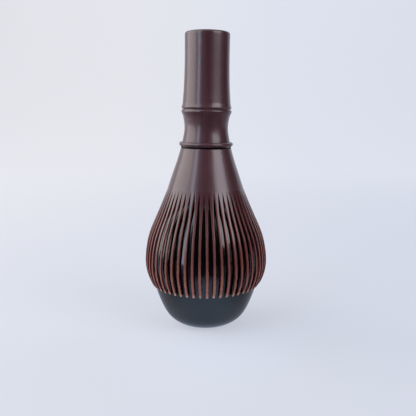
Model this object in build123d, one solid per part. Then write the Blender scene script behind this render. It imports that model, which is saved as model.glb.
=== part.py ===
"""Dark-stained bamboo tea whisk standing, handle up, on its black glazed whisk stand.

The frame is in millimetres, +Z up, with the origin on the floor at the centre of the stand's foot.
The stand is a thrown hollow form. The whisk's shoulder and its ring of free tines drop over the
stand's bulb, and the whisk's inner core hangs down through the hole in the crown.
"""

import os
from math import cos, radians

from build123d import *

# --- driving dimensions ----------------------------------------------------------------------
TOP_Z = 150.8  # rim of the handle

# stand
FOOT_R = 10.0  # outside of the flat foot ring
DRAIN_R = 6.0  # drain hole in the foot
FOOT_T = 4.0  # thickness of the foot at the drain hole
BULB_R = 29.9  # widest part of the bulb
BULB_Z = 33.8
STAND_WALL = 4.0
CROWN_Z = 72.0  # rim round the hole in the crown
CROWN_R = 8.2  # that hole
CROWN_LIP = 1.6  # flat rim round the hole
STAND_KNEE = (22.8, 10.2)  # radius and height where the rounded foot meets the bulb

# handle, in its own upright frame
LEAN_DEG = 0.8  # how far the handle leans towards +X
LEAN_Z = 74.0  # height at which it starts to lean
CULM_R = 11.25  # straight upper length of the culm
NODE_Z = 112.9  # groove of the node
NODE_R = 12.75  # ridges each side of the groove
NODE_GROOVE_R = 12.1
NODE_HALF = 1.05  # groove to ridge
STRAIGHT_Z = 133.0  # above it the culm is straight
NECK_R = 11.08  # waist under the node
NECK_Z = 103.6
NECK_FOOT_R = 12.45
CULM_BORE_R = 8.0
SEPTUM_T = 3.0  # natural wall across the culm at its node
SPIGOT_R = 10.0  # turned end that is glued into the shoulder
SPIGOT_Z = 88.0
RIM_FILLET = 1.2

# collar ring and binding thread
COLLAR_Z = 95.4
COLLAR_SECTION_R = 1.1
COLLAR_OUTER_R = 13.85
COLLAR_BORE = (12.52, 12.12)  # lower and upper end of its tapered bore
THREAD_Z = 93.85
THREAD_D = 0.6
THREAD_OUTER_R = 12.95
THREAD_GAP = 0.05  # above and below the thread
THREAD_SEAT_R = 12.2  # step of the neck that the thread lies round

# shoulder
SHOULDER_TOP_Z = 93.45
SHOULDER_TOP_R = 12.9
SHOULDER_LEVELS = [(80.0, 17.2), (87.0, 14.8)]  # heights and radii between root and top
ROOT_Z = 73.0  # where the shoulder is split into tines
ROOT_R = 19.55
SHOULDER_WALL = 1.7
GLUE_GAP = 0.05

# outer tines
TINES = 54
TINE_T_ROOT = 1.05
TINE_T_TIP = 0.8
TINE_W_ROOT = 2.05
TINE_WIDTHS = [(66.0, 1.8), (56.0, 1.58), (42.0, 1.42)]  # heights and widths between root and tip
TINE_W_TIP = 1.3
TINE_END_Z = 21.75
TINE_MAX_R = 31.58
TINE_MAX_Z = 34.5
FIRST_TINE_DEG = 1.7  # turn of the first tine from the front, towards +X
ROOT_GAP = 0.1  # room for the flexing root
ROOT_WAY = (0.385, -1)  # outwards and down, the slope of the shoulder's foot

# inner core
CORE_TINES = 18
CORE_TOP_Z = 106.0
CORE_SPLIT_Z = 84.0
CORE_TIP_Z = 36.0
CORE_R = 6.6
CORE_TIP_R = 5.0
CORE_WALL = 1.1  # at the tips
CORE_ROOT_WALL = 1.6
CORE_SLOT = 0.9


def in_handle_frame(shape):
    """Lean a shape that was drawn upright about the Y axis through the lean's start."""
    lean = Pos(0, 0, LEAN_Z) * Rot(0, LEAN_DEG, 0) * Pos(0, 0, -LEAN_Z)
    return lean * shape


def turned(*outline):
    """Solid of revolution about Z of a closed outline drawn with X as radius and Z as height."""
    wires = Wire(list(outline))
    return revolve(make_face(wires), Axis.Z, 360)


def at(radius, height):
    """A point of an outline: X is the radius."""
    return (radius, 0, height)


def lines(*points):
    """Straight edges through the points."""
    return [Line(a, b) for a, b in zip(points, points[1:])]


def smooth(*points, start=None, end=None):
    """One smooth curve through the points, with its end directions if given."""
    if start and end:
        return Spline(*points, tangents=[(start[0], 0, start[1]), (end[0], 0, end[1])])
    return Spline(*points)


def stand_outside():
    """Outside of the stand from the foot up to the rim of the crown: rounded foot, bulb, crown."""
    foot = smooth(
        at(FOOT_R, 0),
        at(15.6, 1.7),
        at(19.9, 5.4),
        at(*STAND_KNEE),
        start=(1, 0.05),
        end=(0.42, 1),
    )
    bulb = smooth(
        at(*STAND_KNEE),
        at(25.05, 15.6),
        at(26.9, 21.2),
        at(28.5, 26.8),
        at(BULB_R, BULB_Z),
        at(28.7, 45.0),
        at(25.6, 54.7),
        at(21.6, 62.6),
    )
    crown = Bezier(
        bulb @ 1,
        bulb @ 1 + bulb % 1 * 6.0,
        at(15.0, CROWN_Z),
        at(CROWN_R + CROWN_LIP, CROWN_Z),
    )
    return [foot, bulb, crown]


def stand_inside():
    """Inside of the stand from under the crown down to the drain hole."""
    wall = smooth(
        at(17.9, 60.8),
        at(21.9, 53.2),
        at(24.7, 44.2),
        at(BULB_R - STAND_WALL, BULB_Z),
        at(23.1, 21.6),
        at(19.4, 12.5),
    )
    under_crown = Bezier(
        at(CROWN_R, CROWN_Z - STAND_WALL),
        at(12.5, CROWN_Z - STAND_WALL),
        wall @ 0 - wall % 0 * 5.0,
        wall @ 0,
    )
    floor = Bezier(wall @ 1, wall @ 1 + wall % 1 * 5.0, at(13.0, FOOT_T + 0.4), at(DRAIN_R, FOOT_T))
    return [under_crown, wall, floor]


def stand_body():
    """Hollow bulb on a small foot ring, open at the crown and at the drain hole."""
    outline = [
        *lines(at(DRAIN_R, 0), at(FOOT_R, 0)),
        *stand_outside(),
        *lines(at(CROWN_R + CROWN_LIP, CROWN_Z), at(CROWN_R, CROWN_Z), at(CROWN_R, CROWN_Z - STAND_WALL)),
        *stand_inside(),
        *lines(at(DRAIN_R, FOOT_T), at(DRAIN_R, 0)),
    ]
    return turned(*outline)


def neck_foot_z():
    """Height of the neck's foot, just above the thread."""
    return THREAD_Z + THREAD_D / 2 + THREAD_GAP


def culm_outline():
    """Outside of the culm from the neck's foot up to the rim: neck, node and upper length."""
    lower_ridge = at(NODE_R, NODE_Z - NODE_HALF)
    upper_ridge = at(NODE_R - 0.1, NODE_Z + NODE_HALF)
    neck = smooth(
        at(NECK_FOOT_R, neck_foot_z()),
        at(11.65, 99.0),
        at(NECK_R, NECK_Z),
        at(11.75, 109.0),
        lower_ridge,
        start=(-0.2, 1),
        end=(0.45, 1),
    )
    upper = smooth(
        upper_ridge,
        at(12.15, NODE_Z + 2.9),
        at(11.75, NODE_Z + 7.7),
        at(CULM_R, STRAIGHT_Z),
        start=(-0.5, 1),
        end=(0, 1),
    )
    groove = lines(lower_ridge, at(NODE_GROOVE_R, NODE_Z), upper_ridge)
    bulge = RIM_FILLET * (1 - cos(radians(45)))
    rim = ThreePointArc(
        at(CULM_R, TOP_Z - RIM_FILLET),
        at(CULM_R - bulge, TOP_Z - bulge),
        at(CULM_R - RIM_FILLET, TOP_Z),
    )
    straight = lines(at(CULM_R, STRAIGHT_Z), at(CULM_R, TOP_Z - RIM_FILLET))
    return [neck, *groove, upper, *straight, rim]


def upright_cylinder(radius, height, foot_z):
    """Cylinder about Z that stands on foot_z."""
    return Pos(0, 0, foot_z) * Cylinder(
        radius, height, align=(Align.CENTER, Align.CENTER, Align.MIN)
    )


def handle_culm():
    """Length of bamboo with one node: open upper bore, septum, neck bore and a turned spigot."""
    seat_z = THREAD_Z - THREAD_D / 2 - THREAD_GAP
    outline = [
        *lines(
            at(CULM_R - RIM_FILLET, TOP_Z),
            at(0, TOP_Z),
            at(0, SPIGOT_Z),
            at(SPIGOT_R, SPIGOT_Z),
            at(SPIGOT_R, seat_z),
            at(THREAD_SEAT_R, seat_z),
            at(THREAD_SEAT_R, neck_foot_z()),
            at(NECK_FOOT_R, neck_foot_z()),
        ),
        *culm_outline(),
    ]
    culm = turned(*outline)
    septum_top = NODE_Z + SEPTUM_T / 2
    septum_low = NODE_Z - SEPTUM_T / 2
    upper_bore = upright_cylinder(CULM_BORE_R, TOP_Z - septum_top + 1, septum_top)
    neck_bore = upright_cylinder(CULM_BORE_R, septum_low - SPIGOT_Z + 1, SPIGOT_Z - 1)
    return in_handle_frame(culm - upper_bore - neck_bore)


def collar_ring():
    """Round ring pushed up on the foot of the neck."""
    torus = Pos(0, 0, COLLAR_Z) * Torus(COLLAR_OUTER_R - COLLAR_SECTION_R, COLLAR_SECTION_R)
    seat = Pos(0, 0, COLLAR_Z) * Cone(*COLLAR_BORE, 2 * COLLAR_SECTION_R + 0.4)
    return in_handle_frame(torus - seat)


def binding_thread():
    """Thread tied once round the joint between the neck and the shoulder."""
    loop = Torus(THREAD_OUTER_R - THREAD_D / 2, THREAD_D / 2)
    return in_handle_frame(Pos(0, 0, THREAD_Z) * loop)


def shoulder():
    """Hollow cone from the neck to the ring where the tines start.

    Its top end leans with the handle.
    """
    levels = [(ROOT_Z, ROOT_R), *SHOULDER_LEVELS, (SHOULDER_TOP_Z, SHOULDER_TOP_R)]

    def ring(height, radius):
        face = Pos(0, 0, height) * Circle(radius)
        return face if height == ROOT_Z else in_handle_frame(face)

    outer = loft([ring(z, r) for z, r in levels])
    inner = loft([ring(z, r - SHOULDER_WALL) for z, r in levels])
    above = SHOULDER_TOP_Z - SPIGOT_Z + 5
    socket = upright_cylinder(SPIGOT_R + GLUE_GAP, above, SPIGOT_Z)
    solid_top = upright_cylinder(ROOT_R, above, SPIGOT_Z)
    hollow = inner - in_handle_frame(solid_top)
    opening = Pos(0, 0, SPIGOT_Z - 1) * Cylinder(SPIGOT_R - 1, 3)
    return outer - hollow - in_handle_frame(socket) - in_handle_frame(opening)


def tine_outer_points():
    """Outside line of a tine from just above its root to just below its tip."""
    return [
        (19.35, ROOT_Z + 0.6),
        (27.25, 54.7),
        (TINE_MAX_R, TINE_MAX_Z),
        (30.05, 26.0),
        (27.95, TINE_END_Z - 0.4),
    ]


def arcs(points, way):
    """Tangent arcs through points of radius and height; the first sets off along way."""
    chain = []
    for start, end in zip(points, points[1:]):
        arc = TangentArc(at(*start), at(*end), tangent=(way[0], 0, way[1]))
        chain.append(arc)
        way = ((arc % 1).X, (arc % 1).Z)
    return chain


def first_tine():
    """One tine, drawn towards +X: a strip of the turned shell, tapered, with a rounded tip."""
    outer_points = tine_outer_points()
    outer = arcs(outer_points, ROOT_WAY)
    steps = len(outer_points) - 1
    ways = [outer[0] % 0] + [arc % 1 for arc in outer]
    inner_points = []
    for n, ((radius, height), way) in enumerate(zip(outer_points, ways)):
        thickness = TINE_T_ROOT + (TINE_T_TIP - TINE_T_ROOT) * n / steps
        inner_points.append((radius + way.Z * thickness, height - way.X * thickness))
    inner = arcs(inner_points, ROOT_WAY)
    ends = lines(outer[-1] @ 1, inner[-1] @ 1) + lines(inner[0] @ 0, outer[0] @ 0)
    shell = Wire([*outer, ends[0], *inner, ends[1]])
    strip = Rot(0, 0, -5) * revolve(make_face(shell), Axis.Z, 10)
    top = ROOT_Z - ROOT_GAP
    tip_r = TINE_W_TIP / 2
    half_widths = [
        (TINE_W_ROOT / 2, top),
        *[(width / 2, height) for height, width in TINE_WIDTHS],
        (tip_r, TINE_END_Z + tip_r),
    ]
    left = [(-w, z) for w, z in half_widths]
    right = [(w, z) for w, z in reversed(half_widths)]
    front = Wire(
        [
            *lines(*left),
            ThreePointArc(left[-1], (0, TINE_END_Z), right[0]),
            *lines(*right),
            Line(right[-1], left[0]),
        ]
    )
    outline = Plane.YZ * make_face(front)
    return strip & extrude(outline, 40)


def tine_turn(number):
    """Azimuth of a tine from +X; the first stands near the front, which faces -Y."""
    return -90 + FIRST_TINE_DEG + number * 360 / TINES


def inner_tines():
    """Core glued in the neck and split below into a ring of slender inner tines."""
    outline = lines(
        at(0, CORE_TOP_Z),
        at(CULM_BORE_R - GLUE_GAP, CORE_TOP_Z),
        at(CULM_BORE_R - GLUE_GAP, SPIGOT_Z),
        at(CORE_R, CORE_SPLIT_Z),
        at(CORE_TIP_R, CORE_TIP_Z),
        at(CORE_TIP_R - CORE_WALL, CORE_TIP_Z),
        at(CORE_R - CORE_ROOT_WALL, CORE_SPLIT_Z),
        at(0, CORE_SPLIT_Z),
        at(0, CORE_TOP_Z),
    )
    core = in_handle_frame(turned(*outline))
    length = CORE_SPLIT_Z - CORE_TIP_Z
    slot = Pos(0, 0, CORE_TIP_Z + length / 2 - 2) * Box(
        2 * CORE_R + 4, CORE_SLOT, length, align=(Align.CENTER, Align.CENTER, Align.CENTER)
    )
    slots = [in_handle_frame(Rot(0, 0, n * 360 / CORE_TINES) * slot) for n in range(CORE_TINES // 2)]
    return core - slots


os.makedirs("parts", exist_ok=True)
pieces = {
    "stand_body": stand_body(),
    "handle_culm": handle_culm(),
    "collar_ring": collar_ring(),
    "binding_thread": binding_thread(),
    "shoulder": shoulder(),
    "inner_tines": inner_tines(),
}
tine = first_tine()
for n in range(TINES):
    pieces[f"tine_{n + 1:02d}"] = Rot(0, 0, tine_turn(n)) * tine

for name, piece in pieces.items():
    export_step(piece, f"parts/{name}.step")
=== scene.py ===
"""Looks of the dark bamboo tea whisk on its black glazed stand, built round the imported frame."""

from math import cos, pi, radians, sin, tan

import bpy
import bmesh
import numpy as np
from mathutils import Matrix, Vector


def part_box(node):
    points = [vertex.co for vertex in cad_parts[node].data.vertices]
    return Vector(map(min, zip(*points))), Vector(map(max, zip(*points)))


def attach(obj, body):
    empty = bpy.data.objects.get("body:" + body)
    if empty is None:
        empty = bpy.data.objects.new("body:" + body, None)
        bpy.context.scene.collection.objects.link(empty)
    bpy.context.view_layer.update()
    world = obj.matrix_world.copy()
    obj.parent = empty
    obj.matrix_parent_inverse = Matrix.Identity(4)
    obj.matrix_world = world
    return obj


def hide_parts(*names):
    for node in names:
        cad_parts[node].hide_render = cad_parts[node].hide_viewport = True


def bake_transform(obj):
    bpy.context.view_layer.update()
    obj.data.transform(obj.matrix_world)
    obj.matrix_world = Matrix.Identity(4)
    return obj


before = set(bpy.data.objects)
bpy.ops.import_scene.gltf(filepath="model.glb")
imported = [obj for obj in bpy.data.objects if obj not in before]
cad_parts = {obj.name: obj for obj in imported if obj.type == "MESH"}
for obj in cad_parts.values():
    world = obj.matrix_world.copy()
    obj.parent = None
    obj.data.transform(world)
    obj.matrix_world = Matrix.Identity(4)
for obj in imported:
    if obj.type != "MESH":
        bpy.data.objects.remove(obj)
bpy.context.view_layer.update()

# The pieces' sizes are in mm and become metres through MM. The studio's are in metres.
MM = 0.001


# ----------------------------------------------------------------------------------------------
# Studio. A sheet of pale card sweeps under and up behind the piece. It glows: painted light, brighter to
# the left and on the wall than on the floor, which also keeps shadows on it faint. Soft boxes stand round
# it, and a flag that only reflections see lies on the card: a painted reflection, dark but for a glowing
# blue patch close to the piece.
# ----------------------------------------------------------------------------------------------
class Wire:
    """A socket of a node tree. Sums on it add Math nodes, and node() adds any other node."""

    def __init__(self, tree, socket=None):
        self.tree = tree
        self.socket = socket

    def node(self, kind, settings=None, sockets=None, out=0):
        """Output of a new node. Its settings are set first, then its sockets' values or links."""
        made = self.tree.nodes.new(kind)
        for name, value in (settings or {}).items():
            setattr(made, name, value)
        for key, value in (sockets or {}).items():
            if isinstance(value, Wire):
                self.tree.links.new(value.socket, made.inputs[key])
            else:
                made.inputs[key].default_value = value
        return Wire(self.tree, made.outputs[out] if len(made.outputs) else None)

    def other(self, out):
        """Another output of the same node."""
        return Wire(self.tree, self.socket.node.outputs[out])

    def sum(self, operation, *others):
        return self.node("ShaderNodeMath", {"operation": operation}, dict(enumerate((self, *others))))

    def mix(self, low, high):
        """The colour between low and high that this factor picks."""
        return self.node("ShaderNodeMix", {"data_type": "RGBA"}, {0: self, 6: low, 7: high}, 2)

    def span(self, low, high):
        """0 at low, 1 at high, smooth and held outside."""
        settings = {"interpolation_type": "SMOOTHSTEP"}
        return self.node("ShaderNodeMapRange", settings, {0: self, 1: low, 2: high})

    def __add__(self, other):
        return self.sum("ADD", other)

    def __sub__(self, other):
        return self.sum("SUBTRACT", other)

    def __mul__(self, other):
        return self.sum("MULTIPLY", other)

    def __truediv__(self, other):
        return self.sum("DIVIDE", other)

    def __pow__(self, other):
        return self.sum("POWER", other)

    def __rsub__(self, other):
        return self.node("ShaderNodeMath", {"operation": "SUBTRACT"}, {0: other, 1: self})

    __radd__ = __add__
    __rmul__ = __mul__


def new_material(name, finish):
    """An empty material with its one shader: finish gives the shader's fixed sockets."""
    material = bpy.data.materials.new(name)
    material.use_nodes = True
    tree = material.node_tree
    tree.nodes.clear()
    shader = Wire(tree).node("ShaderNodeBsdfPrincipled", None, finish)
    Wire(tree).node("ShaderNodeOutputMaterial", None, {0: shader})
    return material, Wire(tree), shader.socket.node


def feed(bench, shader, **sockets):
    """Links wires into a shader's sockets; a name's _ stands for a space."""
    for name, wire in sockets.items():
        bench.tree.links.new(wire.socket, shader.inputs[name.replace("_", " ")])


def object_from(name, verts, faces, material=None):
    """A mesh object at the origin."""
    mesh = bpy.data.meshes.new(name)
    mesh.from_pydata([tuple(v) for v in verts], [], faces)
    mesh.validate()
    made = bpy.data.objects.new(name, mesh)
    bpy.context.scene.collection.objects.link(made)
    if material:
        mesh.materials.append(material)
    return made


# The card's emission colours are painted light: the card glows brighter to the left and on the wall than on
# the floor, and the glow keeps shadows cast on it faint.
CARD_WIDTH = 3.2
CARD_FRONT = -1.8
CARD_BACK = 0.75
CARD_BEND = 0.45
CARD_HEIGHT = 1.9
CARD_COLOUR = (0.2, 0.205, 0.22, 1)
CARD_CURVE_STEPS = 24
CARD_GLOW = 1.0
GLOW_WIDTH = 0.45
GLOW_FRONT = -0.05
GLOW_BACK = 0.95
GLOW_WALL_LEFT = (0.625, 0.63, 0.66, 1)
GLOW_WALL_RIGHT = (0.575, 0.61, 0.68, 1)
GLOW_FLOOR_LEFT = (0.475, 0.49, 0.535, 1)
GLOW_FLOOR_RIGHT = (0.42, 0.455, 0.535, 1)

card_line = [(CARD_FRONT, 0.0), (CARD_BACK, 0.0)]
for n in range(1, CARD_CURVE_STEPS + 1):
    turn = n * pi / 2 / CARD_CURVE_STEPS
    card_line.append((CARD_BACK + CARD_BEND * sin(turn), CARD_BEND * (1 - cos(turn))))
card_line.append((CARD_BACK + CARD_BEND, CARD_HEIGHT))
card_verts = [(x, y, z) for y, z in card_line for x in (-CARD_WIDTH / 2, CARD_WIDTH / 2)]
card_faces = [(2 * n, 2 * n + 1, 2 * n + 3, 2 * n + 2) for n in range(len(card_line) - 1)]
card_material, bench, shader = new_material(
    "card", {"Base Color": CARD_COLOUR, "Roughness": 0.9, "Emission Strength": CARD_GLOW}
)
place = bench.node("ShaderNodeTexCoord").other("Object")
axes = bench.node("ShaderNodeSeparateXYZ", None, {0: place})
aside = (axes / GLOW_WIDTH + 0.5).span(0.0, 1.0)
back = axes.other("Y").span(GLOW_FRONT, GLOW_BACK)
left_glow = back.mix(GLOW_FLOOR_LEFT, GLOW_WALL_LEFT)
right_glow = back.mix(GLOW_FLOOR_RIGHT, GLOW_WALL_RIGHT)
feed(bench, shader, Emission_Color=aside.mix(left_glow, right_glow))
card = object_from("card", card_verts, card_faces, card_material)
for face in card.data.polygons:
    face.use_smooth = True

# The flag is a painted reflection: a sheet seen only in reflections. It is black in front, has a glowing
# blue patch round the stand's foot, and a dim grey-blue glow behind.
FLAG_BACK = 0.25
FLAG_HEIGHT = 0.0004
PATCH_FULL = 0.028
PATCH_END = 0.115
PATCH_NARROWING = 3.2
BEHIND_START = -0.04
BEHIND_FULL = 0.0
FLAG_REFLECTION_DARK = (0, 0, 0, 1)
FLAG_REFLECTION_GLOW = (0.64, 0.86, 1.2, 1)
FLAG_REFLECTION_BEHIND = (0.31, 0.33, 0.40, 1)

flag_material, bench, shader = new_material(
    "flag", {"Base Color": (0.01, 0.01, 0.01, 1), "Emission Strength": 1.0}
)
place = bench.node("ShaderNodeTexCoord").other("Object")
axes = bench.node("ShaderNodeSeparateXYZ", None, {0: place})
x, y = axes, axes.other("Y")
near = 1 - (x * x * PATCH_NARROWING + y * y).sum("SQRT").span(PATCH_FULL, PATCH_END)
behind = y.span(BEHIND_START, BEHIND_FULL)
feed(bench, shader, Emission_Color=behind.mix(near.mix(FLAG_REFLECTION_DARK, FLAG_REFLECTION_GLOW), FLAG_REFLECTION_BEHIND))
flag_verts = [
    (x, y, FLAG_HEIGHT) for y in (CARD_FRONT, FLAG_BACK) for x in (-CARD_WIDTH / 2, CARD_WIDTH / 2)
]
flag = object_from("flag", flag_verts, [(0, 1, 3, 2)], flag_material)
flag.visible_camera = False
flag.visible_diffuse = False
flag.visible_shadow = False

LIGHTS = [
    # name, centre, looks at, width, height, watts, colour
    ("box_above", (0.0, -0.05, 1.25), (0, 0.05, 0), 1.5, 1.5, 5.8, (0.95, 0.97, 1.0)),
    ("box_left", (-0.8, 0.0, 0.4), (0, 0, 0.08), 1.0, 1.1, 10.5, (1.0, 0.97, 0.97)),
    ("window_strip", (-0.42, -0.47, 0.36), (0, 0, 0.08), 0.125, 0.9, 2.1, (0.74, 0.84, 1.0)),
    ("box_right", (0.62, -0.36, 0.2), (0, 0, 0.08), 0.3, 0.3, 0.13, (1.0, 0.8, 0.97)),
    ("box_right_high", (0.643, -0.467, 0.52), (0, 0, 0.08), 0.62, 0.5, 4.6, (0.98, 0.94, 1.0)),
]
for name, centre, aim, width, height, watts, colour in LIGHTS:
    light = bpy.data.lights.new(name, "AREA")
    light.shape = "RECTANGLE"
    light.size = width
    light.size_y = height
    light.energy = watts
    light.color = colour
    lamp = bpy.data.objects.new(name, light)
    lamp.location = centre
    lamp.rotation_euler = (Vector(aim) - Vector(centre)).to_track_quat("-Z", "Y").to_euler()
    lamp.visible_camera = False
    bpy.context.scene.collection.objects.link(lamp)

ROOM = (0.012, 0.0125, 0.015, 1)
PALE = (0.72, 0.76, 0.85, 1)
world = bpy.data.worlds.new("room")
bpy.context.scene.world = world
world.use_nodes = True
world.node_tree.nodes.clear()
bench = Wire(world.node_tree)
seen = bench.node("ShaderNodeLightPath")
sky = bench.node("ShaderNodeBackground", None, {0: seen.mix(ROOM, PALE)})
bench.node("ShaderNodeOutputWorld", None, {0: sky})

CAMERA_BACK = 0.287
CAMERA_SIDE = 0.0013
CAMERA_HEIGHT = 0.1121
CAMERA_DIP = 9.92
CAMERA_LENS = 48
CAMERA_CLIP = 0.01
camera = bpy.data.objects.new("camera", bpy.data.cameras.new("camera"))
camera.data.lens = CAMERA_LENS
camera.location = (CAMERA_SIDE, -CAMERA_BACK, CAMERA_HEIGHT)
camera.rotation_euler = (radians(90 - CAMERA_DIP), 0, 0)
camera.data.clip_start = CAMERA_CLIP
bpy.context.scene.collection.objects.link(camera)
bpy.context.scene.camera = camera
bpy.context.scene.view_settings.view_transform = "Standard"


# ----------------------------------------------------------------------------------------------
# Stand. A hollow stoneware bulb, thrown and turned, dipped in a glossy black glaze. The foot ring
# is wiped clean before firing and stays bare; the crown is open for the whisk's inner tines.
# ----------------------------------------------------------------------------------------------
def smooth_line(points, count):
    """Even steps along the cubic spline through the points."""
    knots = np.array(points, float)
    along = np.r_[0, np.cumsum(np.linalg.norm(np.diff(knots, axis=0), axis=1))]
    gap = np.diff(along)
    size = len(knots)
    system = np.eye(size)
    right = np.zeros_like(knots)
    for i in range(1, size - 1):
        system[i, i - 1 : i + 2] = gap[i - 1], 2 * (gap[i - 1] + gap[i]), gap[i]
        right[i] = 6 * ((knots[i + 1] - knots[i]) / gap[i] - (knots[i] - knots[i - 1]) / gap[i - 1])
    bend = np.linalg.solve(system, right)
    found = []
    for s in np.linspace(0, along[-1], count):
        i = min(int(np.searchsorted(along, s, side="right")) - 1, size - 2)
        a, b = along[i + 1] - s, s - along[i]
        found.append(
            (bend[i] * a**3 + bend[i + 1] * b**3) / (6 * gap[i])
            + (knots[i] / gap[i] - bend[i] * gap[i] / 6) * a
            + (knots[i + 1] / gap[i] - bend[i + 1] * gap[i] / 6) * b
        )
    return [tuple(p) for p in found]


def bezier_line(a, b, c, d, count):
    """Even steps of a cubic from a to d that leaves towards b and comes in from c."""
    line = []
    for t in np.linspace(0, 1, count):
        s = 1 - t
        weights = (s**3, 3 * s * s * t, 3 * s * t * t, t**3)
        line.append(tuple(sum(w * p[k] for w, p in zip(weights, (a, b, c, d))) for k in (0, 1)))
    return line


def corner(a, b, c, radius, steps=5):
    """The points of a rounded corner at b between the lines to a and c."""
    a, b, c = Vector(a), Vector(b), Vector(c)
    one, two = (a - b).normalized(), (c - b).normalized()
    reach = radius / tan(one.angle(two) / 2)
    start, end = b + one * reach, b + two * reach
    return bezier_line(start, start.lerp(b, 0.55), end.lerp(b, 0.55), end, steps)


def turned(name, outline, around, material, shape=None):
    """A closed outline of (radius, height) in mm, turned about Z. shape moves each finished point."""
    verts, rings = [], []
    for radius, height in outline:
        if radius < 1e-6:
            rings.append([len(verts)] * around)
            verts.append((0.0, 0.0, height))
            continue
        rings.append(range(len(verts), len(verts) + around))
        for n in range(around):
            turn = 2 * pi * n / around
            verts.append((radius * cos(turn), radius * sin(turn), height))
    faces = []
    for i in range(len(rings)):
        low, high = rings[i], rings[(i + 1) % len(rings)]
        for n in range(around):
            m = (n + 1) % around
            face = [low[n], low[m], high[m], high[n]]
            kept = [v for k, v in enumerate(face) if v != face[k - 1]]
            if len(kept) > 2:
                faces.append(kept)
    if shape:
        verts = [shape(*v) for v in verts]
    made = object_from(name, [Vector(v) * MM for v in verts], faces, material)
    close_and_shade(made)
    return made


def close_and_shade(made, sharp=40):
    """Merges doubles, points the faces outwards and shades all but the sharp edges smooth."""
    work = bmesh.new()
    work.from_mesh(made.data)
    bmesh.ops.remove_doubles(work, verts=work.verts, dist=1e-7)
    bmesh.ops.recalc_face_normals(work, faces=work.faces)
    for edge in work.edges:
        edge.smooth = edge.calc_face_angle(0) < radians(sharp)
    for face in work.faces:
        face.smooth = True
    work.to_mesh(made.data)
    work.free()


FOOT_R = 10.0
DRAIN_R = 6.0
FOOT_T = 4.0
CROWN_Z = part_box("stand_body")[1].z / MM
BULB_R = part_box("stand_body")[1].x / MM
BULB_Z = 33.8
WALL = 4.0
CROWN_R = 8.2
CROWN_LIP = 1.6
STAND_AROUND = 256
GLAZE = (0.0016, 0.002, 0.003, 1)
GLAZE_THIN = (0.007, 0.005, 0.0045, 1)
GLAZE_SPECK = (0.03, 0.02, 0.016, 1)
CLAY = (0.065, 0.05, 0.042, 1)

stand_side = smooth_line(
    [
        (FOOT_R, 0.3),
        (13.0, 0.75),
        (15.6, 1.9),
        (19.9, 5.4),
        (22.8, 10.2),
        (25.05, 15.6),
        (26.9, 21.2),
        (28.5, 26.8),
        (BULB_R, BULB_Z),
        (28.7, 45.0),
        (25.6, 54.7),
        (21.6, 62.6),
    ],
    200,
)
crown_way = Vector(stand_side[-1]) - Vector(stand_side[-2])
crown_pull = Vector(stand_side[-1]) + crown_way.normalized() * 6
stand_crown = bezier_line(stand_side[-1], crown_pull, (15.0, CROWN_Z), (CROWN_R + CROWN_LIP, CROWN_Z), 24)
stand_inner = smooth_line(
    [(17.9, 60.8), (21.9, 53.2), (24.7, 44.2), (BULB_R - WALL, BULB_Z), (23.1, 21.6), (19.4, 12.5)], 60
)
crown_under = bezier_line((CROWN_R, CROWN_Z - WALL), (12.5, CROWN_Z - WALL), (14.9, 64.9), (17.9, 60.8), 14)
stand_floor = bezier_line((19.4, 12.5), (17.0, 8.1), (13.0, FOOT_T + 0.4), (DRAIN_R, FOOT_T), 14)
stand_lip = corner((CROWN_R + CROWN_LIP, CROWN_Z), (CROWN_R, CROWN_Z), (CROWN_R, CROWN_Z - WALL), 0.9, 8)
stand_outline = [
    *corner((DRAIN_R, FOOT_T), (DRAIN_R, 0), (FOOT_R, 0), 0.4),
    (FOOT_R - 0.6, 0.0),
    (FOOT_R - 0.25, 0.1),
    *stand_side,
    *stand_crown[1:],
    *stand_lip,
    *crown_under,
    *stand_inner[1:],
    *stand_floor[1:],
]

glaze, bench, shader = new_material("black_glaze", {"IOR": 1.52})
place = bench.node("ShaderNodeTexCoord").other("Object")
height = bench.node("ShaderNodeSeparateXYZ", None, {0: place}).other("Z")
flow = bench.node("ShaderNodeTexNoise", None, {"Vector": place, "Scale": 60.0, "Detail": 3.0})
specks = bench.node("ShaderNodeTexVoronoi", None, {"Vector": place, "Scale": 900.0})
speck = 1 - specks.span(0.04, 0.16)
bare = 1 - (height + flow * 0.0006).span(0.0003, 0.0009)
black = flow.span(0.35, 0.75).mix(GLAZE, GLAZE_THIN)
colour = bare.mix((speck * 0.5).mix(black, GLAZE_SPECK), CLAY)
skin_bump = bench.node("ShaderNodeTexNoise", None, {"Vector": place, "Scale": 260.0, "Detail": 2.0})
bump = bench.node(
    "ShaderNodeBump", None, {"Strength": 0.035, "Distance": 0.0004, "Height": skin_bump + flow * 2.0}
)
feed(bench, shader, Base_Color=colour, Roughness=0.09 + flow * 0.08 + bare * 0.6, Normal=bump)

stand = turned("stand_glazed_body", stand_outline, STAND_AROUND, glaze)
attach(stand, "stand")
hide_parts("stand_body")


# ----------------------------------------------------------------------------------------------
# Shoulder. The lower end of the whisk, turned from stained bamboo to a smooth hollow cone and
# lacquered thinly. Its foot is the ring from which the outer tines are sawn.
# ----------------------------------------------------------------------------------------------
LEAN = radians(0.8)
LEAN_Z = 74.0
LEAN_REACH = 7.0
ROOT_Z = 73.0
ROOT_R = 19.55
SHOULDER_TOP_Z = 93.45
SHOULDER_TOP_R = 12.9
SPIGOT_R = 10.0
SPIGOT_GAP = 0.05
SPIGOT_LEDGE = 1.0
SPIGOT_Z = 88.0
TINES = 54
SHOULDER_AROUND = TINES * 6


def lean(x, y, z):
    """A point of the upright handle, leant towards +X; the lean comes in over the shoulder."""
    t = min(max((z - ROOT_Z) / LEAN_REACH, 0.0), 1.0)
    turn = LEAN * t * t * (3 - 2 * t)
    up = z - LEAN_Z
    return (x * cos(turn) + up * sin(turn), y, LEAN_Z + up * cos(turn) - x * sin(turn))


BROWN_DARK = (0.034, 0.008, 0.0125, 1)
BROWN = (0.064, 0.0175, 0.0235, 1)
BROWN_WORN = (0.13, 0.05, 0.042, 1)


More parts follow.
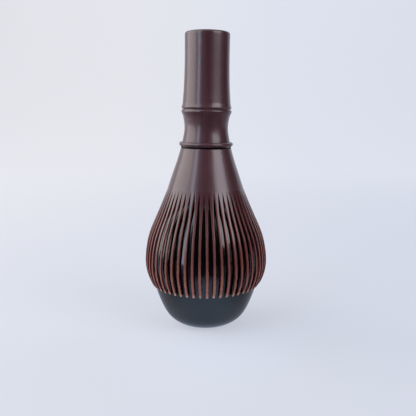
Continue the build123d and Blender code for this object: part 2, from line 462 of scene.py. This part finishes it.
def stained_bamboo(name, dark=BROWN_DARK, light=BROWN, ior=1.5):
    """Stained bamboo under thin lacquer: fine fibres run along the piece, and the stain pools.
    Each piece feeds the shader from the colour, fibre, cloud and bump that come back."""
    material, bench, shader = new_material(name, {"Coat Roughness": 0.2, "Coat IOR": 1.5, "IOR": ior})
    place = bench.node("ShaderNodeTexCoord").other("Object")
    axes = bench.node("ShaderNodeSeparateXYZ", None, {0: place})
    x, y, z = axes, axes.other("Y"), axes.other("Z")
    radius = (x * x + y * y).sum("SQRT") + 0.0005
    ring_point = bench.node("ShaderNodeCombineXYZ", None, {0: x / radius, 1: y / radius, 2: z * 6.0})
    long_point = bench.node("ShaderNodeCombineXYZ", None, {0: x / radius, 1: y / radius, 2: z * 1.6})
    fibre = bench.node(
        "ShaderNodeTexNoise", None, {"Vector": ring_point, "Scale": 38.0, "Detail": 4.0, "Roughness": 0.65}
    )
    streak = bench.node("ShaderNodeTexNoise", None, {"Vector": long_point, "Scale": 7.0, "Detail": 2.0})
    cloud = bench.node("ShaderNodeTexNoise", None, {"Vector": place, "Scale": 55.0, "Detail": 3.0})
    tone = (fibre * 0.45 + streak * 0.35 + cloud * 0.3).span(0.3, 0.8)
    colour = tone.mix(dark, light)
    bump = bench.node(
        "ShaderNodeBump", None, {"Strength": 0.06, "Distance": 0.0002, "Height": fibre + cloud * 0.6}
    )
    return material, bench, shader, colour, fibre, cloud, bump


brown, bench, shader, colour, fibre, cloud, bump = stained_bamboo("stained_bamboo")
feed(
    bench,
    shader,
    Base_Color=colour,
    Roughness=0.3 + fibre * 0.12 + cloud * 0.06,
    Coat_Weight=0.35 + cloud * 0.3,
    Normal=bump,
)

shoulder_outside = smooth_line(
    [(ROOT_R, ROOT_Z), (17.2, 80.0), (14.8, 87.0), (SHOULDER_TOP_R, SHOULDER_TOP_Z)], 48
)
shoulder_inside = smooth_line(
    [(13.4, 85.9), (14.6, 82.6), (17.5, 74.5), (ROOT_R - 1.55, ROOT_Z - 0.35)], 24
)
shoulder_outline = [
    *shoulder_outside[:-1],
    *corner(shoulder_outside[-2], (SHOULDER_TOP_R, SHOULDER_TOP_Z), (SPIGOT_R, SHOULDER_TOP_Z), 0.3),
    (SPIGOT_R + SPIGOT_GAP, SHOULDER_TOP_Z),
    (SPIGOT_R + SPIGOT_GAP, SPIGOT_Z),
    (SPIGOT_R - SPIGOT_LEDGE, SPIGOT_Z),
    (SPIGOT_R - SPIGOT_LEDGE, SPIGOT_Z - 1.4),
    *shoulder_inside,
]
shoulder = turned("shoulder_cone", shoulder_outline, SHOULDER_AROUND, brown, lean)
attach(shoulder, "whisk")
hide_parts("shoulder")


# ----------------------------------------------------------------------------------------------
# Outer tines. The cone's foot is sawn into even strips, each thinned, bent over heat so that it
# swells and curls in, and rounded at its tip. The bare sawn sides take the stain redder.
# ----------------------------------------------------------------------------------------------
TINE_T_ROOT = 1.05
TINE_T_TIP = 0.8
TINE_HALF_ROOT = ROOT_R * tan(pi / TINES)
TINE_HALF_TIP = 0.57
TINE_TIP_ROUND = 0.9
TINE_THINNING = 9.0
TINE_TRIM = 0.004
TINE_SWAY = 0.28
FIRST_TINE_DEG = 1.7
TINE_ROWS = 60
ROW_CROWDING = 1.35

tine_line = smooth_line(
    [
        (ROOT_R, ROOT_Z),
        (23.1, 64.25),
        (26.68, 55.95),
        (29.05, 50.1),
        (30.46, 45.0),
        (31.46, 38.0),
        (31.58, 34.0),
        (31.15, 30.0),
        (30.05, 26.0),
        (28.05, 21.6),
    ],
    200,
)


def drawn_line(name, points, closed=False):
    """A hidden poly curve that a tree of nodes follows."""
    curve = bpy.data.curves.new(name, "CURVE")
    curve.dimensions = "3D"
    spline = curve.splines.new("POLY")
    spline.points.add(len(points) - 1)
    for point, place in zip(spline.points, points):
        point.co = (*place, 1)
    spline.use_cyclic_u = closed
    made = bpy.data.objects.new(name, curve)
    bpy.context.scene.collection.objects.link(made)
    return made


def strip_section(round_x, round_y):
    """A unit strip's section, anticlockwise from its outer right corner. The third number is 1 on
    the bamboo's skin and 0 on the sawn sides and the back."""
    points = []
    for quarter, (cx, cy) in enumerate(((1, 1), (-1, 1), (-1, -1), (1, -1))):
        for step in range(4):
            turn = (quarter + step / 3) * pi / 2
            skin = (step / 3, 1 - step / 3, 0, 0)[quarter]
            x = cx * (1 - round_x) + round_x * cos(turn)
            y = cy * (1 - round_y) + round_y * sin(turn)
            points.append((x, y, skin))
        if quarter == 0:
            points += [(k * (1 - round_x), 1, 1) for k in (0.5, 0.0, -0.5)]
        else:
            points.append(((-1, 0, 0), (0, -1, 0), (1, 0, 0))[quarter - 1])
    return points


tine_path = drawn_line("tine_path", [(r * MM, 0, z * MM) for r, z in tine_line])
section_sawn = drawn_line("section_sawn", strip_section(0.03, 0.03), True)
section_eased = drawn_line("section_eased", strip_section(0.3, 0.46), True)


def start_tree(name, **inputs):
    """A Geometry Nodes tree with one named input for each keyword, its type read from the value."""
    tree = bpy.data.node_groups.new(name, "GeometryNodeTree")
    tree.interface.new_socket("Geometry", in_out="OUTPUT", socket_type="NodeSocketGeometry")
    kinds = {int: "Int", float: "Float", bpy.types.Object: "Object", bpy.types.Material: "Material"}
    for key, value in inputs.items():
        kind = "NodeSocket" + next(k for t, k in kinds.items() if isinstance(value, t))
        tree.interface.new_socket(key, in_out="INPUT", socket_type=kind)
    given = tree.nodes.new("NodeGroupInput")
    return Wire(tree), {key: Wire(tree, given.outputs[key]) for key in inputs}


def end_tree(shape, material):
    """Ends a tree: its instances become real and take the material."""
    shape = shape.node("GeometryNodeRealizeInstances", None, {0: shape})
    shape = shape.node("GeometryNodeSetMaterial", None, {"Geometry": shape, "Material": material})
    out = shape.tree.nodes.new("NodeGroupOutput")
    shape.tree.links.new(shape.socket, out.inputs[0])


def grown(name, tree, **values):
    """The tree's result with these input values, as a plain mesh object at the origin."""
    host = object_from(name + "_host", [], [])
    nodes = host.modifiers.new("grow", "NODES")
    nodes.node_group = tree
    for item in tree.interface.items_tree:
        if item.in_out == "INPUT":
            nodes[item.identifier] = values[item.name]
    graph = bpy.context.evaluated_depsgraph_get()
    graph.update()
    mesh = bpy.data.meshes.new_from_object(host.evaluated_get(graph))
    mesh.name = name
    bpy.data.objects.remove(host)
    made = bpy.data.objects.new(name, mesh)
    bpy.context.scene.collection.objects.link(made)
    close_and_shade(made)
    return made


def hidden_object_shape(wire):
    """The geometry of an object that a tree is given."""
    return wire.node("GeometryNodeObjectInfo", None, {"Object": wire}).other("Geometry")


SAWN_DARK = (0.07, 0.006, 0.004, 1)
SAWN_LIGHT = (0.22, 0.028, 0.02, 1)
# Down each tine the skin turns from the bamboo's brown to a lighter red-brown. Towards the tips it turns
# lighter and pinker still, and that lower tone is painted light from the bright floor below.
TINE_MID = (0.115, 0.038, 0.032, 1)
TINE_FLOOR_LIT_DARK = (0.225, 0.08, 0.062, 1)
TINE_FLOOR_LIT = (0.315, 0.122, 0.093, 1)
# A painted highlight on each tine's rounded tip end.
TIP_HIGHLIGHT = (0.52, 0.31, 0.23, 1)
tine_brown, bench, shader, colour, fibre, cloud, bump = stained_bamboo("tine_bamboo", ior=1.36)
along = bench.node("ShaderNodeAttribute", {"attribute_name": "along"}).other("Fac")
skin = bench.node("ShaderNodeAttribute", {"attribute_name": "skin"}).other("Fac")
tone = (fibre * 0.35 + cloud * 0.65).span(0.3, 0.75)
# Painted light: the lower part of each tine takes a paler, pinker colour, as if lit from the floor.
floor_lit_colour = tone.mix(TINE_FLOOR_LIT_DARK, TINE_FLOOR_LIT)
skin_colour = (along + cloud * 0.1).span(0.15, 0.6).mix(colour, TINE_MID)
skin_colour = (along + cloud * 0.1).span(0.6, 1.0).mix(skin_colour, floor_lit_colour)
# Painted highlight: the last few percent of each tine, its rounded end, turns pale peach.
skin_colour = (along + fibre * 0.02).span(0.955, 1.01).mix(skin_colour, TIP_HIGHLIGHT)
sawn_colour = tone.mix(SAWN_DARK, SAWN_LIGHT)
feed(
    bench,
    shader,
    Base_Color=skin.span(0.35, 0.9).mix(sawn_colour, skin_colour),
    Roughness=0.62 - skin * 0.3 + fibre * 0.1,
    Coat_Weight=skin * (0.8 - along.span(0.25, 0.7) * 0.75),
    Normal=bump,
)

section_size = len(section_sawn.data.splines[0].points)
tine_inputs = dict(
    Path=tine_path,
    Sawn=section_sawn,
    Eased=section_eased,
    Plug=tine_path,
    Material=tine_brown,
    Rows=TINE_ROWS,
    HalfRoot=TINE_HALF_ROOT * MM,
    HalfTip=TINE_HALF_TIP * MM,
    Thinning=TINE_THINNING,
    ThickRoot=TINE_T_ROOT * MM,
    ThickTip=TINE_T_TIP * MM,
    TipRound=TINE_TIP_ROUND * MM,
    Turn=0.0,
    Splay=0.0,
    Sway=0.0,
    Trim=0.0,
    Count=1,
    Seed=0,
)
bench, given = start_tree("strip_ring", **tine_inputs)
number = bench.node("GeometryNodeInputIndex")
rows = given["Rows"]
column = (number / rows).sum("FLOOR")
row = number - column * rows
around = column - (column / section_size).sum("FLOOR") * section_size
spot = bench.node("GeometryNodeInputPosition")
corners = []
for key in ("Sawn", "Eased"):
    corners.append(
        bench.node(
            "GeometryNodeSampleIndex",
            {"data_type": "FLOAT_VECTOR"},
            {"Geometry": hidden_object_shape(given[key]), "Value": spot, "Index": around},
        )
    )
step = (row - 1).sum("MAXIMUM", 0.0) / (rows - 2)
share = 1 - (1 - step) ** ROW_CROWDING
capped = row.sum("MINIMUM", 1.0)
ease = share.span(0.02, 0.3)
section = bench.node(
    "ShaderNodeMix", {"data_type": "VECTOR"}, {0: ease, 4: corners[0], 5: corners[1]}, 1
)
section = bench.node("ShaderNodeSeparateXYZ", None, {0: section})
wide, deep, skin = section, section.other("Y"), section.other("Z")


def chance(draw):
    """A number from -1 to 1, the same each time for one strip and one draw."""
    sockets = {2: -1.0, 3: 1.0, "ID": draw, "Seed": given["Seed"]}
    return bench.node("FunctionNodeRandomValue", {"data_type": "FLOAT"}, sockets, 1)


path_shape = hidden_object_shape(given["Path"])
length = bench.node("GeometryNodeCurveLength", None, {0: path_shape})
shorter = 1 - given["Trim"] * (chance(1) + 1.0)
on_path = bench.node(
    "GeometryNodeSampleCurve",
    {"mode": "FACTOR", "use_all_curves": True},
    {"Curves": path_shape, "Factor": share * shorter},
    1,
)
point = bench.node("ShaderNodeSeparateXYZ", None, {0: on_path})
way = bench.node("ShaderNodeSeparateXYZ", None, {0: on_path.other("Tangent")})
to_tip = (1 - share) * length


def rounding(reach):
    """0 at the tip, 1 from reach on, along a quarter circle."""
    rest = 1 - (to_tip / reach).sum("MINIMUM", 1.0)
    return (1 - rest * rest).sum("MAXIMUM", 0.0).sum("SQRT")


thin = (1 - share) ** given["Thinning"]
half = given["HalfTip"] + (given["HalfRoot"] - given["HalfTip"]) * thin
thick = given["ThickTip"] + (given["ThickRoot"] - given["ThickTip"]) * (1 - share)
inward = (deep * rounding(given["TipRound"] * 0.6) * capped - 1) * thick * 0.5
bow = share * share
radius = point - way.other("Z") * inward + given["Splay"] * bow
level = point.other("Z") + way * inward
aside = wide * half * rounding(given["TipRound"]) * capped + given["Sway"] * bow * chance(2)
angle = given["Turn"] + aside / radius
moved = bench.node(
    "ShaderNodeCombineXYZ",
    None,
    {0: radius * angle.sum("COSINE"), 1: radius * angle.sum("SINE"), 2: level},
)
strip = bench.node("GeometryNodeMeshGrid", None, {"Vertices X": section_size + 1, "Vertices Y": rows})
for key, value in (("along", share), ("skin", skin)):
    strip = bench.node(
        "GeometryNodeStoreNamedAttribute",
        {"data_type": "FLOAT", "domain": "POINT"},
        {"Geometry": strip, "Name": key, "Value": value},
    )
strip = bench.node("GeometryNodeSetPosition", None, {"Geometry": strip, "Position": moved})
strip = bench.node("GeometryNodeMergeByDistance", None, {"Geometry": strip, "Distance": 1e-7})
places = bench.node("GeometryNodePoints", None, {"Count": given["Count"]})
each = bench.node("ShaderNodeCombineXYZ", None, {2: number * (2 * pi) / given["Count"]})
ring = bench.node(
    "GeometryNodeInstanceOnPoints", None, {"Points": places, "Instance": strip, "Rotation": each}
)
plug_mesh = hidden_object_shape(given["Plug"])
joined = bench.node("GeometryNodeJoinGeometry", None, {0: ring})
bench.tree.links.new(plug_mesh.socket, joined.socket.node.inputs[0])
end_tree(joined, given["Material"])
strip_tree = bench.tree

no_plug = object_from("no_plug", [], [])
SPLAYED = {4: 0.3, 12: 0.35, 13: 1.05, 14: 0.5, 30: 0.5, 40: 0.6, 41: 0.25}
for n in range(TINES):
    body = f"tine_{n + 1:02d}"
    values = dict(
        tine_inputs,
        Plug=no_plug,
        Turn=radians(-90 + FIRST_TINE_DEG + n * 360 / TINES),
        Splay=SPLAYED.get(n, 0.0) * MM,
        Sway=TINE_SWAY * MM,
        Trim=TINE_TRIM,
        Seed=n,
    )
    tine = grown(f"{body}_strip", strip_tree, **values)
    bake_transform(tine)
    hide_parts(body)


# ----------------------------------------------------------------------------------------------
# Inner tines. A second, slender ring of strips, sawn from a bamboo plug that is glued up into the
# neck. It hangs inside the outer ring and reaches down through the stand's open crown.
# ----------------------------------------------------------------------------------------------
PLUG_R = 7.95
PLUG_TOP_Z = 106.0
PLUG_FOOT_Z = 88.0
INNER_ROOT_R = 6.6
INNER_ROOT_Z = 84.0
INNER_TIP_R = 5.0
INNER_TIP_Z = 36.0
INNER_TINES = 18
INNER_ROWS = 30
INNER_HALF_ROOT = 0.69
INNER_HALF_TIP = 0.42
INNER_T_ROOT = 1.6
INNER_T_TIP = 1.1
INNER_TIP_ROUND = 0.5
CUP_R = 5.0
CUP_DEPTH = 1.5
PLUG_AROUND = 144

inner_brown, bench, shader, colour, fibre, cloud, bump = stained_bamboo("inner_bamboo", BROWN, BROWN_WORN)
feed(bench, shader, Base_Color=colour, Roughness=0.5 + fibre * 0.2, Coat_Weight=cloud * 0.1, Normal=bump)

plug_outline = [
    (0, INNER_ROOT_Z + CUP_DEPTH),
    (CUP_R - 0.8, INNER_ROOT_Z + CUP_DEPTH - 0.5),
    (CUP_R, INNER_ROOT_Z),
    (INNER_ROOT_R, INNER_ROOT_Z),
    *smooth_line([(INNER_ROOT_R, INNER_ROOT_Z), (7.2, 86.2), (PLUG_R, PLUG_FOOT_Z)], 8)[1:],
    *corner((PLUG_R, PLUG_FOOT_Z), (PLUG_R, PLUG_TOP_Z), (0, PLUG_TOP_Z), 0.4),
    (0, PLUG_TOP_Z),
]
plug = turned("plug", plug_outline, PLUG_AROUND, inner_brown, lean)
inner_line = smooth_line(
    [(INNER_ROOT_R, INNER_ROOT_Z), (5.9, 70.0), (5.5, 52.0), (INNER_TIP_R, INNER_TIP_Z)], 60
)
inner_path = drawn_line("inner_path", [(r * MM, 0, z * MM) for r, z in inner_line])
inner = grown(
    "inner_tines_ring",
    strip_tree,
    **dict(
        tine_inputs,
        Path=inner_path,
        Plug=plug,
        Material=inner_brown,
        Rows=INNER_ROWS,
        HalfRoot=INNER_HALF_ROOT * MM,
        HalfTip=INNER_HALF_TIP * MM,
        Thinning=1.0,
        ThickRoot=INNER_T_ROOT * MM,
        ThickTip=INNER_T_TIP * MM,
        TipRound=INNER_TIP_ROUND * MM,
        Count=INNER_TINES,
        Seed=60,
    ),
)
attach(inner, "whisk")
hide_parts("inner_tines")
for helper in (plug, no_plug, inner_path, tine_path, section_sawn, section_eased):
    bpy.data.objects.remove(helper)


# ----------------------------------------------------------------------------------------------
# Handle. A length of slim culm, kept round: its neck, one node with two ridges and a groove, and
# the cut top. It is stained and lacquered, and its foot is glued down into the cone.
# ----------------------------------------------------------------------------------------------
TOP_Z = 150.8
CULM_R = 11.25
NODE_Z = 112.9
NODE_GROOVE_R = 12.1
NODE_RIDGE_R = 12.75
NODE_SKEW = 0.006
NODE_REACH = 7.0
SEPTUM_HALF = 1.5
CULM_OVAL = 0.006
BORE_R = 8.0
RIM_ROUND = 1.2
HANDLE_AROUND = 240

neck_line = smooth_line(
    [(12.45, 94.2), (12.1, 96.6), (11.65, 99.0), (11.1, 103.0), (11.2, 105.8), (11.75, 109.0)], 40
)
ridge_low = smooth_line(
    [(11.75, 109.0), (12.25, 110.5), (NODE_RIDGE_R - 0.06, NODE_Z - 1.45), (NODE_RIDGE_R, NODE_Z - 1.0)], 12
)
bead_low = smooth_line([(NODE_RIDGE_R, NODE_Z - 1.0), (NODE_RIDGE_R - 0.1, NODE_Z - 0.6)], 3)
ridge_high = smooth_line(
    [
        (NODE_RIDGE_R - 0.14, NODE_Z + 0.62),
        (NODE_RIDGE_R - 0.08, NODE_Z + 0.95),
        (NODE_RIDGE_R - 0.25, NODE_Z + 1.5),
        (12.12, NODE_Z + 3.0),
    ],
    12,
)
upper_line = smooth_line(
    [(12.12, 115.9), (11.95, 118.0), (11.76, 120.6), (11.5, 125.5), (CULM_R, 134.0), (CULM_R, 148.9)], 50
)
handle_outline = [
    (0, NODE_Z + SEPTUM_HALF),
    (BORE_R - 1, NODE_Z + SEPTUM_HALF),
    (BORE_R, NODE_Z + SEPTUM_HALF + 0.8),
    *corner((BORE_R, TOP_Z - 3), (BORE_R, TOP_Z), (CULM_R, TOP_Z), 0.5),
    *corner((BORE_R, TOP_Z), (CULM_R, TOP_Z), (CULM_R, TOP_Z - 4), RIM_ROUND, 9),
    *upper_line[::-1],
    *ridge_high[:-1][::-1],
    (NODE_GROOVE_R + 0.06, NODE_Z + 0.08),
    (NODE_GROOVE_R, NODE_Z),
    (NODE_GROOVE_R + 0.06, NODE_Z - 0.08),
    *bead_low[1:][::-1],
    *ridge_low[::-1],
    *neck_line[:-1][::-1],
    (SPIGOT_R, 94.2),
    (SPIGOT_R, SPIGOT_Z),
    (BORE_R, SPIGOT_Z),
    (BORE_R, NODE_Z - SEPTUM_HALF - 0.8),
    (BORE_R - 1, NODE_Z - SEPTUM_HALF),
    (0, NODE_Z - SEPTUM_HALF),
]


def culm_shape(x, y, z):
    """The culm grew a little oval, and its node sits askew; then the handle leans."""
    oval = 1 + CULM_OVAL * (x * x - y * y) / max(x * x + y * y, 1)
    near = max(0.0, 1 - ((z - NODE_Z) / NODE_REACH) ** 2) ** 2
    return lean(x * oval, y / oval, z - x * NODE_SKEW * near)


handle = turned("handle_culm_turned", handle_outline, HANDLE_AROUND, brown, culm_shape)
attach(handle, "whisk")
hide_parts("handle_culm")


# ----------------------------------------------------------------------------------------------
# Collar ring. A round bead of bamboo slid down the neck and glued where the neck meets the cone.
# It is cut by hand, so it sits a little askew and its bead is not quite even.
# ----------------------------------------------------------------------------------------------
RING_Z = 95.4
RING_R = 12.75
RING_BEAD = 1.1
RING_SKEW = 0.002
BEAD_STEPS = 40
RING_AROUND = 200

bead_outline = []
for n in range(BEAD_STEPS):
    turn = 2 * pi * n / BEAD_STEPS
    bead_outline.append((RING_R + RING_BEAD * cos(turn), RING_Z + RING_BEAD * sin(turn)))


def bead_shape(x, y, z):
    """The bead tips a little and swells and thins round its way."""
    turn = np.arctan2(y, x)
    swell = 1 + 0.02 * sin(2 * turn + 0.6) + 0.012 * sin(5 * turn)
    return lean(x, y, RING_Z + (z - RING_Z) * swell - x * RING_SKEW)


bead = turned("collar_bead", bead_outline, RING_AROUND, brown, bead_shape)
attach(bead, "whisk")
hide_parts("collar_ring")


# ----------------------------------------------------------------------------------------------
# Binding thread. Black two-ply cotton, wound twice round the joint under the bead and pulled
# tight; its two ends pass each other a little way at the back.
# ----------------------------------------------------------------------------------------------
THREAD_Z = 93.85
THREAD_R = 12.68
PLY_R = 0.1
PLIES = 2
LAY = 0.0013
COTTON_DARK = (0.0025, 0.0022, 0.0025, 1)
COTTON_LIGHT = (0.011, 0.0095, 0.01, 1)
THREAD_STEPS = 480
THREAD_TURNS = 2
THREAD_OVERLAP = 0.02
THREAD_SPREAD = 0.34
END_LIFT = 0.1

cotton, bench, shader = new_material("black_thread", {"IOR": 1.3, "Specular IOR Level": 0.1})
place = bench.node("ShaderNodeTexCoord").other("Object")
fluff = bench.node("ShaderNodeTexNoise", None, {"Vector": place, "Scale": 2600.0, "Detail": 3.0})
fluff_bump = bench.node(
    "ShaderNodeBump", None, {"Strength": 0.5, "Distance": 0.00005, "Height": fluff}
)
feed(
    bench,
    shader,
    Base_Color=fluff.span(0.3, 0.8).mix(COTTON_DARK, COTTON_LIGHT),
    Roughness=0.75 + fluff * 0.2,
    Normal=fluff_bump,
)

thread_points = []
for n in range(THREAD_STEPS + 1):
    turns = (THREAD_TURNS + 2 * THREAD_OVERLAP) * n / THREAD_STEPS - THREAD_OVERLAP
    turn = pi / 2 + turns * 2 * pi
    end = max(0.0, THREAD_OVERLAP - turns, turns - THREAD_TURNS + THREAD_OVERLAP) / (2 * THREAD_OVERLAP)
    radius = THREAD_R + END_LIFT * sin(pi * min(end, 1.0))
    height = THREAD_Z + THREAD_SPREAD * (0.5 - min(max(turns / THREAD_TURNS, 0), 1))
    thread_points.append(Vector(lean(radius * cos(turn), radius * sin(turn), height)) * MM)
thread_path = drawn_line("thread_path", thread_points)
twine_inputs = dict(Path=thread_path, PlyRadius=PLY_R * MM, Lay=LAY, Plies=PLIES, Material=cotton)
bench, given = start_tree("twine", **twine_inputs)
laid = bench.node(
    "GeometryNodeDuplicateElements",
    {"domain": "SPLINE"},
    {"Geometry": hidden_object_shape(given["Path"]), "Amount": given["Plies"]},
)
ply = laid.other("Duplicate Index")
reach = bench.node("GeometryNodeSplineParameter").other("Length")
turn = reach * (2 * pi) / given["Lay"] + ply * (2 * pi) / given["Plies"]
tangent = bench.node("GeometryNodeInputTangent")
across = bench.node(
    "ShaderNodeVectorMath", {"operation": "CROSS_PRODUCT"}, {0: tangent, 1: (0.0, 0.0, 1.0)}
)
shift = bench.node(
    "ShaderNodeVectorMath",
    {"operation": "SCALE"},
    {0: across, "Scale": turn.sum("COSINE") * given["PlyRadius"]},
)
rise = bench.node("ShaderNodeCombineXYZ", None, {2: turn.sum("SINE") * given["PlyRadius"]})
offset = bench.node("ShaderNodeVectorMath", {"operation": "ADD"}, {0: shift, 1: rise})
strands = bench.node("GeometryNodeSetPosition", None, {"Geometry": laid, "Offset": offset})
round_section = bench.node(
    "GeometryNodeCurvePrimitiveCircle", None, {"Resolution": 8, "Radius": given["PlyRadius"]}
)
cord = bench.node(
    "GeometryNodeCurveToMesh", None, {"Curve": strands, "Profile Curve": round_section, "Fill Caps": True}
)
end_tree(cord, given["Material"])
thread = grown("binding_thread_twine", bench.tree, **twine_inputs)
bpy.data.objects.remove(thread_path)
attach(thread, "whisk")
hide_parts("binding_thread")
